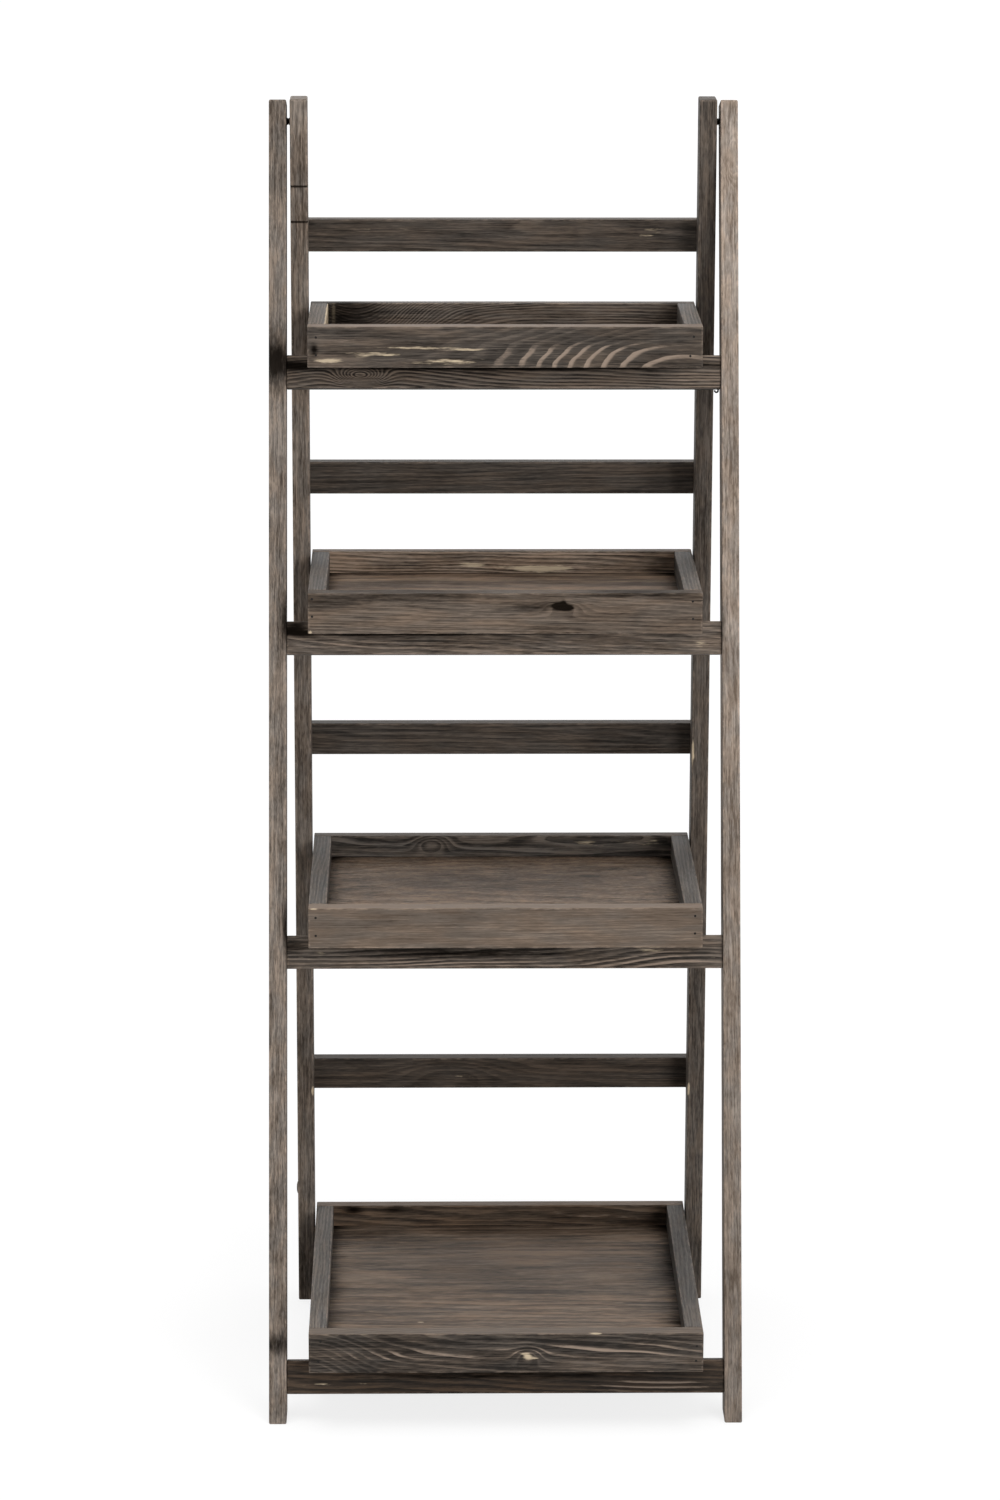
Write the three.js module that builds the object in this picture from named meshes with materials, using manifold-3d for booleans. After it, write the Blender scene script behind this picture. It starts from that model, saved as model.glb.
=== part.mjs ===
// Folding ladder plant stand: an upright rear frame and a leaning front frame, bolted together
// at the top, with four trays that hinge on the rear frame and rest on the front frame's rungs.
// Millimetres, +Z up, front towards -Y. The origin is on the floor, centred under the stand.
import * as THREE from "three";
import { mergeVertices } from "three/addons/utils/BufferGeometryUtils.js";
import Module from "manifold-3d";

const wasm = await Module();
wasm.setup();

// Overall sizes
const STAND_WIDTH = 540; // over the outer faces of the front legs
const PIVOT_HEIGHT = 1435; // floor to the axis of the two top bolts
const FRONT_LEAN_DEG = 15.67; // front frame from the vertical when open
const SEAT_GAP = 0.3; // between pieces that touch

// Legs: bars 20 wide seen from the front and 40 deep
const LEG_WIDTH = 20;
const LEG_DEPTH = 40;
const FRONT_LEG_ABOVE_PIVOT = 22.5;
const REAR_LEG_ABOVE_PIVOT = 27.5;
const FRAME_GAP = 4; // between a front leg and the rear leg inside it
const LEG_EDGE_RADIUS = 2;
const LEG_TOP_RADIUS = 3;

// Rungs of the front frame, let in between its legs
const RUNG_HEIGHT = 38;
const RUNG_THICKNESS = 20;
const RUNG_SETBACK = 5; // behind the front faces of the legs
const RUNG_EDGE_RADIUS = 1.5;

// Rails of the rear frame, screwed to the backs of its legs
const RAIL_BOTTOMS = [1281, 994, 677, 258];
const RAIL_HEIGHT = 38;
const RAIL_THICKNESS = 19;
const RAIL_EDGE_RADIUS = 1.5;

// Trays, top one first: nailed boards round a plywood floor
const TRAY_BOTTOMS = [1177, 882, 535, 68];
const TRAY_DEPTHS = [192, 252, 334, 452];
const TRAY_REAR_EDGE = 14; // behind the centre plane of the rear legs
const TRAY_SIDE_GAP = 2.2; // to the rear leg beside it
const BOARD_HEIGHT = 47;
const FRONT_BOARD_THICKNESS = 20;
const SIDE_BOARD_THICKNESS = 20.5;
const REAR_BOARD_THICKNESS = 16;
const BOARD_EDGE_RADIUS = 1.2;
const FLOOR_THICKNESS = 6;
const FLOOR_BELOW_RIM = 26; // rim to the top of the floor
const FLOOR_TONGUE = 4.7; // how far the floor stands into its grooves
const FLOOR_EDGE_RADIUS = 0.6;

// Hardwood dowels that each tray swings on
const DOWEL_RADIUS = 4;
const DOWEL_FORWARD = 10; // ahead of the centre plane of the rear legs
const DOWEL_ABOVE_BOTTOM = 18.5; // above the underside of the tray
const DOWEL_IN_BOARD = 11;
const DOWEL_INSET = 0.5; // below the outer face of the leg
const DOWEL_CHAMFER = 0.6;

// Bolts, nuts and cup washers of the top pivot
const BOLT_RADIUS = 3;
const BOLT_HEAD_RADIUS = 7;
const BOLT_HEAD_THICKNESS = 2.5;
const BOLT_SOCKET_RADIUS = 2.3;
const BOLT_SOCKET_DEPTH = 1.6;
const NUT_RADIUS = 5.77; // over the corners of the hexagon
const NUT_THICKNESS = 5;
const NUT_RECESS_CLEARANCE = 0.6;
const HARDWARE_INSET = 0.5; // head and nut below the face of the wood
const WASHER_RADIUS = 4.5;
const WASHER_SMALL_RADIUS = 3.7;

// Countersunk screws through the rails
const SCREW_RADIUS = 2;
const SCREW_HEAD_RADIUS = 4;
const SCREW_HEAD_HEIGHT = 2.2;
const SCREW_LENGTH = 35;
const SCREW_TIP = 4;
const SCREW_SLOT_LENGTH = 4.4;
const SCREW_SLOT_WIDTH = 0.9;
const SCREW_SLOT_DEPTH = 1.2;

// Wire hook under the right end of the top rung
const HOOK_WIRE_RADIUS = 1;
const HOOK_BEND_RADIUS = 2;
const HOOK_STEM_IN_RUNG = 8;
const HOOK_STEM_BELOW_RUNG = 1.6;
const HOOK_FROM_LEG = 3; // stem to the inner face of the front leg

// Facets of the round pieces
const CORNER_STEPS = 2;
const ROUND_STEPS = 24;
const SMALL_ROUND_STEPS = 16;
const WIRE_SIDES = 8;
const WIRE_STEPS = 14;

// Derived places
const FRONT_LEAN = THREE.MathUtils.degToRad(FRONT_LEAN_DEG);
const FRONT_LEG_X = (STAND_WIDTH - LEG_WIDTH) / 2;
const FRONT_INNER_X = STAND_WIDTH / 2 - LEG_WIDTH;
const REAR_OUTER_X = FRONT_INNER_X - FRAME_GAP;
const REAR_INNER_X = REAR_OUTER_X - LEG_WIDTH;
const REAR_LEG_X = REAR_OUTER_X - LEG_WIDTH / 2;
const TRAY_HALF_WIDTH = REAR_INNER_X - TRAY_SIDE_GAP;
const TRAY_INNER_X = TRAY_HALF_WIDTH - SIDE_BOARD_THICKNESS;
const RAIL_FRONT_Y = LEG_DEPTH / 2 + SEAT_GAP;
const RAIL_REAR_Y = RAIL_FRONT_Y + RAIL_THICKNESS;
const SIDES = { left: -1, right: 1 };

const wood = (color, roughness) =>
  new THREE.MeshStandardMaterial({ color, roughness, metalness: 0 });
const frontLegWood = wood(0x8b7f74, 0.72);
const rearLegWood = wood(0x5e564f, 0.74);
const rungWood = wood(0x63594f, 0.72);
const railWood = wood(0x4b433e, 0.74);
const boardWood = wood(0x6a6158, 0.72);
const floorPly = wood(0x5f5147, 0.66);
const dowelWood = wood(0xa98560, 0.6);
const blackSteel = new THREE.MeshStandardMaterial({ color: 0x1b1a19, roughness: 0.42, metalness: 0.85 });

// A closed geometry as a solid, and a solid as a named mesh
function solidOf(geometry) {
  const bare = geometry.index ? geometry.toNonIndexed() : geometry.clone();
  bare.deleteAttribute("normal");
  bare.deleteAttribute("uv");
  const merged = mergeVertices(bare, 1e-4);
  return new wasm.Manifold(
    new wasm.Mesh({
      numProp: 3,
      vertProperties: new Float32Array(merged.attributes.position.array),
      triVerts: new Uint32Array(merged.index.array),
    }),
  );
}

function meshOf(name, solid, material) {
  const { numProp, vertProperties, triVerts } = solid.getMesh();
  const geometry = new THREE.BufferGeometry();
  geometry.setAttribute("position", new THREE.BufferAttribute(new Float32Array(vertProperties), numProp));
  geometry.setIndex(new THREE.BufferAttribute(new Uint32Array(triVerts), 1));
  geometry.computeVertexNormals();
  const mesh = new THREE.Mesh(geometry, material);
  mesh.name = name;
  return mesh;
}

const cut = (solid, ...tools) => tools.reduce((left, tool) => left.subtract(tool), solid);

// The outline through the given corners, each rounded by its own radius
function roundedOutline(corners) {
  const shape = new THREE.Shape();
  corners.forEach(([x, y, radius], i) => {
    const here = new THREE.Vector2(x, y);
    const before = new THREE.Vector2(...corners.at(i - 1).slice(0, 2));
    const after = new THREE.Vector2(...corners[(i + 1) % corners.length].slice(0, 2));
    const start = before.sub(here).setLength(radius).add(here);
    const end = after.sub(here).setLength(radius).add(here);
    if (i) shape.lineTo(start.x, start.y);
    else shape.moveTo(start.x, start.y);
    shape.quadraticCurveTo(x, y, end.x, end.y);
  });
  return shape;
}

// An outline extruded to the given length, centred on it, with eased ends
function easedPrism(corners, length, endEase) {
  const geometry = new THREE.ExtrudeGeometry(roundedOutline(corners), {
    depth: length - 2 * endEase,
    curveSegments: CORNER_STEPS,
    bevelEnabled: true,
    bevelThickness: endEase,
    bevelSize: endEase,
    bevelOffset: -endEase,
    bevelSegments: CORNER_STEPS,
  });
  return geometry.translate(0, 0, endEase - length / 2);
}

const rectangle = (width, height, radius) => [
  [-width / 2, -height / 2, radius],
  [width / 2, -height / 2, radius],
  [width / 2, height / 2, radius],
  [-width / 2, height / 2, radius],
];

// Turns that lay an extrusion along X with its outline in Y and Z, or along Y with it in Z and X
const alongX = new THREE.Matrix4().makeBasis(
  new THREE.Vector3(0, 1, 0),
  new THREE.Vector3(0, 0, 1),
  new THREE.Vector3(1, 0, 0),
);
const alongY = new THREE.Matrix4().makeBasis(
  new THREE.Vector3(0, 0, 1),
  new THREE.Vector3(1, 0, 0),
  new THREE.Vector3(0, 1, 0),
);
const endEaseOf = (radius) => radius * 0.7;

function barAlongX(length, depth, height, radius) {
  const bar = easedPrism(rectangle(depth, height, radius), length, endEaseOf(radius));
  return bar.applyMatrix4(alongX);
}

function barAlongY(length, width, height, radius) {
  const bar = easedPrism(rectangle(height, width, radius), length, endEaseOf(radius));
  return bar.applyMatrix4(alongY);
}

// A round bar along X or Y between two places on that axis
function roundAlongX(radius, from, to, y, z, steps = ROUND_STEPS) {
  const geometry = new THREE.CylinderGeometry(radius, radius, Math.abs(to - from), steps);
  return geometry.rotateZ(Math.PI / 2).translate((from + to) / 2, y, z);
}

function roundAlongY(radius, from, to, x, z, steps = SMALL_ROUND_STEPS) {
  const geometry = new THREE.CylinderGeometry(radius, radius, Math.abs(to - from), steps);
  return geometry.translate(x, (from + to) / 2, z);
}

const boreRadius = (radius, steps) => (radius + SEAT_GAP) / Math.cos(Math.PI / steps);

// The places of the trays' dowels and of the rails' screws
const dowelHeight = (tray) => TRAY_BOTTOMS[tray] + DOWEL_ABOVE_BOTTOM;
const railMiddle = (rail) => RAIL_BOTTOMS[rail] + RAIL_HEIGHT / 2;
const headInnerX = STAND_WIDTH / 2 - HARDWARE_INSET - BOLT_HEAD_THICKNESS;
const nutInnerX = REAR_INNER_X + HARDWARE_INSET;

// Rear frame
function rearLeg(name, side) {
  const top = PIVOT_HEIGHT + REAR_LEG_ABOVE_PIVOT;
  const outline = [
    [-LEG_DEPTH / 2, 0, LEG_EDGE_RADIUS],
    [LEG_DEPTH / 2, 0, LEG_EDGE_RADIUS],
    [LEG_DEPTH / 2, top, LEG_TOP_RADIUS],
    [-LEG_DEPTH / 2, top, LEG_TOP_RADIUS],
  ];
  const bar = easedPrism(outline, LEG_WIDTH, LEG_EDGE_RADIUS * 0.8).applyMatrix4(alongX);
  const half = LEG_WIDTH / 2;
  const dowelBore = boreRadius(DOWEL_RADIUS, ROUND_STEPS);
  const dowelBores = TRAY_BOTTOMS.map((_, tray) =>
    roundAlongX(dowelBore, -half - 1, half + 1, -DOWEL_FORWARD, dowelHeight(tray)),
  );
  const screwBore = boreRadius(SCREW_RADIUS, SMALL_ROUND_STEPS);
  const screwEnd = RAIL_REAR_Y - SCREW_LENGTH - 2 * SEAT_GAP;
  const screwBores = RAIL_BOTTOMS.map((_, rail) =>
    roundAlongY(screwBore, screwEnd, LEG_DEPTH / 2 + 1, 0, railMiddle(rail)),
  );
  const boltBore = roundAlongX(boreRadius(BOLT_RADIUS, ROUND_STEPS), -half - 1, half + 1, 0, PIVOT_HEIGHT);
  const recessDepth = HARDWARE_INSET + NUT_THICKNESS + SEAT_GAP;
  const nutRecess = roundAlongX(
    NUT_RADIUS + NUT_RECESS_CLEARANCE,
    -side * (half + 1),
    -side * (half - recessDepth),
    0,
    PIVOT_HEIGHT,
  );
  const tools = [...dowelBores, ...screwBores, boltBore, nutRecess].map(solidOf);
  const leg = meshOf(name, cut(solidOf(bar), ...tools), rearLegWood);
  leg.position.x = side * REAR_LEG_X;
  return leg;
}

function countersink(x, z) {
  const cone = new THREE.CylinderGeometry(
    SCREW_HEAD_RADIUS + 2 * SEAT_GAP,
    SCREW_RADIUS + SEAT_GAP,
    SCREW_HEAD_HEIGHT + SEAT_GAP,
    SMALL_ROUND_STEPS,
  );
  const coneMiddle = RAIL_THICKNESS / 2 - (SCREW_HEAD_HEIGHT + SEAT_GAP) / 2;
  const mouth = roundAlongY(SCREW_HEAD_RADIUS + 2 * SEAT_GAP, coneMiddle, RAIL_THICKNESS, x, z);
  const rise = (SCREW_HEAD_HEIGHT + SEAT_GAP) / 2;
  return solidOf(cone.translate(x, coneMiddle, z)).add(solidOf(mouth.translate(0, rise, 0)));
}

function rearRail(name, rail) {
  const length = 2 * REAR_OUTER_X;
  const bar = solidOf(barAlongX(length, RAIL_THICKNESS, RAIL_HEIGHT, RAIL_EDGE_RADIUS));
  const bore = boreRadius(SCREW_RADIUS, SMALL_ROUND_STEPS);
  const holes = Object.values(SIDES).flatMap((side) => [
    solidOf(roundAlongY(bore, -RAIL_THICKNESS, RAIL_THICKNESS, side * REAR_LEG_X, 0)),
    countersink(side * REAR_LEG_X, 0),
  ]);
  const mesh = meshOf(name, cut(bar, ...holes), railWood);
  mesh.position.set(0, (RAIL_FRONT_Y + RAIL_REAR_Y) / 2, railMiddle(rail));
  return mesh;
}

function railScrew(name, rail, side) {
  const profile = [
    [0, 0],
    [SCREW_HEAD_RADIUS, 0],
    [SCREW_RADIUS, SCREW_HEAD_HEIGHT],
    [SCREW_RADIUS, SCREW_LENGTH - SCREW_TIP],
    [0, SCREW_LENGTH],
  ].map(([radius, along]) => new THREE.Vector2(radius, -along));
  const body = new THREE.LatheGeometry(profile.reverse(), SMALL_ROUND_STEPS);
  const slot = [
    new THREE.BoxGeometry(SCREW_SLOT_LENGTH, 2 * SCREW_SLOT_DEPTH, SCREW_SLOT_WIDTH),
    new THREE.BoxGeometry(SCREW_SLOT_WIDTH, 2 * SCREW_SLOT_DEPTH, SCREW_SLOT_LENGTH),
  ].map(solidOf);
  const mesh = meshOf(name, cut(solidOf(body), ...slot), blackSteel);
  mesh.position.set(side * REAR_LEG_X, RAIL_REAR_Y - SEAT_GAP, railMiddle(rail));
  return mesh;
}

// Front frame, in its own group: the bolts' axis is its origin and the legs run down -Z
function frontLeg(name, side) {
  const footAt = (y) => (y * Math.sin(FRONT_LEAN) - PIVOT_HEIGHT) / Math.cos(FRONT_LEAN);
  const outline = [
    [-LEG_DEPTH / 2, footAt(-LEG_DEPTH / 2), LEG_EDGE_RADIUS],
    [LEG_DEPTH / 2, footAt(LEG_DEPTH / 2), LEG_EDGE_RADIUS],
    [LEG_DEPTH / 2, FRONT_LEG_ABOVE_PIVOT, LEG_TOP_RADIUS],
    [-LEG_DEPTH / 2, FRONT_LEG_ABOVE_PIVOT, LEG_TOP_RADIUS],
  ];
  const bar = easedPrism(outline, LEG_WIDTH, LEG_EDGE_RADIUS * 0.8).applyMatrix4(alongX);
  const half = LEG_WIDTH / 2;
  const bore = roundAlongX(boreRadius(BOLT_RADIUS, ROUND_STEPS), -half - 1, half + 1, 0, 0);
  const recessDepth = HARDWARE_INSET + BOLT_HEAD_THICKNESS + SEAT_GAP;
  const recessRadius = boreRadius(BOLT_HEAD_RADIUS, ROUND_STEPS);
  const recess = roundAlongX(recessRadius, side * (half - recessDepth), side * (half + 1), 0, 0);
  const leg = meshOf(name, cut(solidOf(bar), solidOf(bore), solidOf(recess)), frontLegWood);
  leg.position.x = side * FRONT_LEG_X;
  return leg;
}

// Down the leg from the bolts' axis to the top of the rung whose raised front edge carries a tray
function rungTop(tray) {
  const frontEdge = LEG_DEPTH / 2 - RUNG_SETBACK;
  const easedCorner = RUNG_EDGE_RADIUS * (1 - Math.cos(FRONT_LEAN) - Math.sin(FRONT_LEAN));
  const drop = PIVOT_HEIGHT - TRAY_BOTTOMS[tray] + SEAT_GAP;
  return (drop + frontEdge * Math.sin(FRONT_LEAN) + easedCorner) / Math.cos(FRONT_LEAN);
}

const rungY = -LEG_DEPTH / 2 + RUNG_SETBACK + RUNG_THICKNESS / 2;
const hookX = FRONT_INNER_X - HOOK_FROM_LEG;

function frontRung(name, tray) {
  const length = 2 * (FRONT_INNER_X - SEAT_GAP);
  let bar = solidOf(barAlongX(length, RUNG_THICKNESS, RUNG_HEIGHT, RUNG_EDGE_RADIUS));
  if (tray === 0) bar = bar.subtract(hookHole());
  const mesh = meshOf(name, bar, rungWood);
  mesh.position.set(0, rungY, -rungTop(tray) - RUNG_HEIGHT / 2);
  return mesh;
}

function hookHole() {
  const radius = boreRadius(HOOK_WIRE_RADIUS, WIRE_SIDES);
  const depth = HOOK_STEM_IN_RUNG + SEAT_GAP;
  const bore = new THREE.CylinderGeometry(radius, radius, 2 * depth, WIRE_SIDES);
  return solidOf(bore.rotateX(Math.PI / 2).translate(hookX, 0, -RUNG_HEIGHT / 2));
}

function catchHook(name) {
  const bendTop = -HOOK_STEM_BELOW_RUNG;
  const path = new THREE.CurvePath();
  const stemEnd = new THREE.Vector3(0, 0, bendTop);
  path.add(new THREE.LineCurve3(new THREE.Vector3(0, 0, HOOK_STEM_IN_RUNG), stemEnd));
  const low = bendTop - HOOK_BEND_RADIUS * 1.6;
  const tip = new THREE.Vector3(-2 * HOOK_BEND_RADIUS, 0, bendTop);
  const bend = [new THREE.Vector3(0, 0, low), new THREE.Vector3(-2 * HOOK_BEND_RADIUS, 0, low)];
  path.add(new THREE.CubicBezierCurve3(stemEnd, ...bend, tip));
  const section = new THREE.Shape();
  section.absarc(0, 0, HOOK_WIRE_RADIUS, 0, 2 * Math.PI);
  const wire = new THREE.ExtrudeGeometry(section, {
    steps: WIRE_STEPS,
    curveSegments: WIRE_SIDES,
    extrudePath: path,
  });
  const mesh = meshOf(name, solidOf(wire), blackSteel);
  mesh.position.set(hookX, rungY, -rungTop(0) - RUNG_HEIGHT);
  return mesh;
}

// Top pivot: a bolt from the front leg into a nut in the rear leg, with two cup washers between
function pivotBolt(name, side) {
  const head = roundAlongX(
    BOLT_HEAD_RADIUS,
    side * headInnerX,
    side * (headInnerX + BOLT_HEAD_THICKNESS),
    0,
    PIVOT_HEIGHT,
  );
  const reach = [side * (nutInnerX + SEAT_GAP), side * (headInnerX + BOLT_HEAD_THICKNESS / 2)];
  const shank = roundAlongX(BOLT_RADIUS, ...reach, 0, PIVOT_HEIGHT);
  const outer = headInnerX + BOLT_HEAD_THICKNESS;
  const socketFloor = side * (outer - BOLT_SOCKET_DEPTH);
  const socket = roundAlongX(BOLT_SOCKET_RADIUS, socketFloor, side * (outer + 1), 0, PIVOT_HEIGHT, 6);
  const solid = solidOf(head).add(solidOf(shank)).subtract(solidOf(socket));
  return meshOf(name, solid, blackSteel);
}

function pivotNut(name, side) {
  const ends = [side * nutInnerX, side * (nutInnerX + NUT_THICKNESS)];
  const hexagon = roundAlongX(NUT_RADIUS, ...ends, 0, PIVOT_HEIGHT, 6);
  const bore = roundAlongX(
    boreRadius(BOLT_RADIUS, ROUND_STEPS),
    side * (nutInnerX - 1),
    side * (nutInnerX + NUT_THICKNESS + 1),
    0,
    PIVOT_HEIGHT,
  );
  return meshOf(name, solidOf(hexagon).subtract(solidOf(bore)), blackSteel);
}

// Wide against the wood and narrow in the middle of the gap; `outward` is true on the front leg
function pivotWasher(name, side, outward) {
  const thickness = (FRAME_GAP - 3 * SEAT_GAP) / 2;
  const bore = boreRadius(BOLT_RADIUS, ROUND_STEPS);
  const wide = outward ? thickness : 0;
  const profile = [
    new THREE.Vector2(bore, 0),
    new THREE.Vector2(wide ? WASHER_SMALL_RADIUS : WASHER_RADIUS, 0),
    new THREE.Vector2(wide ? WASHER_RADIUS : WASHER_SMALL_RADIUS, thickness),
    new THREE.Vector2(bore, thickness),
    new THREE.Vector2(bore, 0),
  ];
  const ring = new THREE.LatheGeometry(profile, ROUND_STEPS).rotateZ(-Math.PI / 2);
  if (side < 0) ring.rotateZ(Math.PI);
  const from = REAR_OUTER_X + SEAT_GAP + (outward ? thickness + SEAT_GAP : 0);
  const mesh = meshOf(name, solidOf(ring), blackSteel);
  mesh.position.set(side * from, 0, PIVOT_HEIGHT);
  return mesh;
}

// Trays: the group's origin is on the dowels' axis
function trayPlaces(tray) {
  const rear = TRAY_REAR_EDGE + DOWEL_FORWARD;
  const front = rear - TRAY_DEPTHS[tray];
  const bottom = -DOWEL_ABOVE_BOTTOM;
  const floorTop = bottom + BOARD_HEIGHT - FLOOR_BELOW_RIM;
  return { rear, front, bottom, floorTop };
}

function floorBox(tray, grow) {
  const { rear, front, floorTop } = trayPlaces(tray);
  const near = front + FRONT_BOARD_THICKNESS - FLOOR_TONGUE - grow;
  const far = rear - REAR_BOARD_THICKNESS + FLOOR_TONGUE + grow;
  return {
    width: 2 * (TRAY_INNER_X + FLOOR_TONGUE + grow),
    depth: far - near,
    height: FLOOR_THICKNESS + 2 * grow,
    y: (far + near) / 2,
    z: floorTop - FLOOR_THICKNESS / 2,
  };
}

function floorGroove(tray) {
  const { width, depth, height, y, z } = floorBox(tray, SEAT_GAP);
  return solidOf(new THREE.BoxGeometry(width, depth, height).translate(0, y, z));
}

function trayFloor(name, tray) {
  const { width, depth, height, y, z } = floorBox(tray, 0);
  const outline = rectangle(width, depth, 2 * FLOOR_EDGE_RADIUS);
  const mesh = meshOf(name, solidOf(easedPrism(outline, height, FLOOR_EDGE_RADIUS)), floorPly);
  mesh.position.set(0, y, z);
  return mesh;
}

// A front or rear board, across the full width of the tray
function crossBoard(name, tray, thickness, y) {
  const z = trayPlaces(tray).bottom + BOARD_HEIGHT / 2;
  const bar = barAlongX(2 * TRAY_HALF_WIDTH, thickness, BOARD_HEIGHT, BOARD_EDGE_RADIUS);
  const groove = floorGroove(tray).translate([0, -y, -z]);
  const mesh = meshOf(name, solidOf(bar).subtract(groove), boardWood);
  mesh.position.set(0, y, z);
  return mesh;
}

// A side board, between the front and rear boards, with the blind hole for its dowel
function sideBoard(name, tray, side) {
  const { rear, front, bottom } = trayPlaces(tray);
  const near = front + FRONT_BOARD_THICKNESS + SEAT_GAP;
  const far = rear - REAR_BOARD_THICKNESS - SEAT_GAP;
  const centre = [side * (TRAY_INNER_X + SIDE_BOARD_THICKNESS / 2), (near + far) / 2, bottom + BOARD_HEIGHT / 2];
  const bar = barAlongY(far - near, SIDE_BOARD_THICKNESS, BOARD_HEIGHT, BOARD_EDGE_RADIUS);
  const hole = roundAlongX(
    boreRadius(DOWEL_RADIUS, ROUND_STEPS),
    side * (TRAY_HALF_WIDTH - DOWEL_IN_BOARD - SEAT_GAP),
    side * (TRAY_HALF_WIDTH + 1),
    0,
    0,
  );
  const tools = [floorGroove(tray), solidOf(hole)].map((tool) => tool.translate(centre.map((c) => -c)));
  const mesh = meshOf(name, cut(solidOf(bar), ...tools), boardWood);
  mesh.position.set(...centre);
  return mesh;
}

function trayDowel(name, side) {
  const length = REAR_OUTER_X - DOWEL_INSET - TRAY_HALF_WIDTH + DOWEL_IN_BOARD;
  const profile = [
    [0, -length / 2],
    [DOWEL_RADIUS - DOWEL_CHAMFER, -length / 2],
    [DOWEL_RADIUS, DOWEL_CHAMFER - length / 2],
    [DOWEL_RADIUS, length / 2 - DOWEL_CHAMFER],
    [DOWEL_RADIUS - DOWEL_CHAMFER, length / 2],
    [0, length / 2],
  ].map(([radius, along]) => new THREE.Vector2(radius, along));
  const body = new THREE.LatheGeometry(profile, ROUND_STEPS).rotateZ(Math.PI / 2);
  const mesh = meshOf(name, solidOf(body), dowelWood);
  mesh.position.x = side * (TRAY_HALF_WIDTH - DOWEL_IN_BOARD + length / 2);
  return mesh;
}

// Assemblies
function rearFrame() {
  const group = new THREE.Group();
  for (const [label, side] of Object.entries(SIDES)) {
    group.add(rearLeg(`rear_leg_${label}`, side));
    group.add(pivotBolt(`pivot_bolt_${label}`, side));
    group.add(pivotNut(`pivot_nut_${label}`, side));
    group.add(pivotWasher(`rear_cup_washer_${label}`, side, false));
    RAIL_BOTTOMS.forEach((_, rail) => group.add(railScrew(`rail_${rail + 1}_screw_${label}`, rail, side)));
  }
  RAIL_BOTTOMS.forEach((_, rail) => group.add(rearRail(`rear_rail_${rail + 1}`, rail)));
  return group;
}

function frontFrame() {
  const group = new THREE.Group();
  group.position.z = PIVOT_HEIGHT;
  group.rotation.x = -FRONT_LEAN;
  for (const [label, side] of Object.entries(SIDES)) {
    group.add(frontLeg(`front_leg_${label}`, side));
    const washer = pivotWasher(`front_cup_washer_${label}`, side, true);
    washer.position.z = 0;
    group.add(washer);
  }
  TRAY_BOTTOMS.forEach((_, tray) => group.add(frontRung(`front_rung_${tray + 1}`, tray)));
  group.add(catchHook("catch_hook"));
  return group;
}

function trayGroup(tray) {
  const group = new THREE.Group();
  const name = `tray_${tray + 1}`;
  const { rear, front } = trayPlaces(tray);
  group.position.set(0, -DOWEL_FORWARD, dowelHeight(tray));
  const frontY = front + FRONT_BOARD_THICKNESS / 2;
  const rearY = rear - REAR_BOARD_THICKNESS / 2;
  group.add(crossBoard(`${name}_front_board`, tray, FRONT_BOARD_THICKNESS, frontY));
  group.add(crossBoard(`${name}_rear_board`, tray, REAR_BOARD_THICKNESS, rearY));
  for (const [label, side] of Object.entries(SIDES)) {
    group.add(sideBoard(`${name}_side_board_${label}`, tray, side));
    group.add(trayDowel(`${name}_dowel_${label}`, side));
  }
  group.add(trayFloor(`${name}_floor`, tray));
  return group;
}

// The front and the back of the whole stand, which the origin lies midway between
function footprintMiddle() {
  const trayFronts = TRAY_DEPTHS.map((depth) => TRAY_REAR_EDGE - depth);
  const footFront = -PIVOT_HEIGHT * Math.tan(FRONT_LEAN) - LEG_DEPTH / 2 / Math.cos(FRONT_LEAN);
  return (Math.min(footFront, ...trayFronts) + RAIL_REAR_Y) / 2;
}

const stand = new THREE.Group();
stand.add(rearFrame(), frontFrame(), ...TRAY_BOTTOMS.map((_, tray) => trayGroup(tray)));
stand.position.y = -footprintMiddle();

const plantStand = new THREE.Group();
plantStand.add(stand);

export default plantStand;
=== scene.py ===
"""Looks of a folding ladder plant stand: dark-stained, weathered pine with blackened steel fittings."""

import math

import bmesh
import bpy
from mathutils import Matrix, Vector

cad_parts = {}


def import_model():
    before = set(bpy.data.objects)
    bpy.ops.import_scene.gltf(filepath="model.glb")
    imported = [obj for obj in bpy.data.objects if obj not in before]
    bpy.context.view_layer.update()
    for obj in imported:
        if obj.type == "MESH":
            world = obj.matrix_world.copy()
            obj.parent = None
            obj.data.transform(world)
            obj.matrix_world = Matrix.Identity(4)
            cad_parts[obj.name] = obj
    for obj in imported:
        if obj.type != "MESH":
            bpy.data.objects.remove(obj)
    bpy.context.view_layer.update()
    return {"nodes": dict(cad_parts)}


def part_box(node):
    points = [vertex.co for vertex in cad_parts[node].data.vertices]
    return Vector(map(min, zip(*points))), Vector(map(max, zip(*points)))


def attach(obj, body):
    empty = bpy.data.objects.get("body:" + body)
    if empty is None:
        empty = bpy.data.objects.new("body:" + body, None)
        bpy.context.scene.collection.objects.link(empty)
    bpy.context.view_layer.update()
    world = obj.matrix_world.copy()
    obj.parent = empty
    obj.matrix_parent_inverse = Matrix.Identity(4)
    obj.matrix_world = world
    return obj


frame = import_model()
nodes = frame["nodes"]

MM = 0.001  # a millimetre in the scene's metres
LEAN = math.radians(15.67)  # of the front frame from the vertical

# Directions in which grain runs and faces look
RIGHT = Vector((1, 0, 0))
BACK = Vector((0, 1, 0))
UP = Vector((0, 0, 1))
UP_LEG = Vector((0, math.sin(LEAN), math.cos(LEAN)))

BLACK = (0, 0, 0, 1)
WHITE = (1, 1, 1, 1)

# Sockets of a Mix node when it mixes colours
MIX_FACTOR = 0
MIX_FIRST = 6
MIX_SECOND = 7
MIX_RESULT = 2


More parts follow.
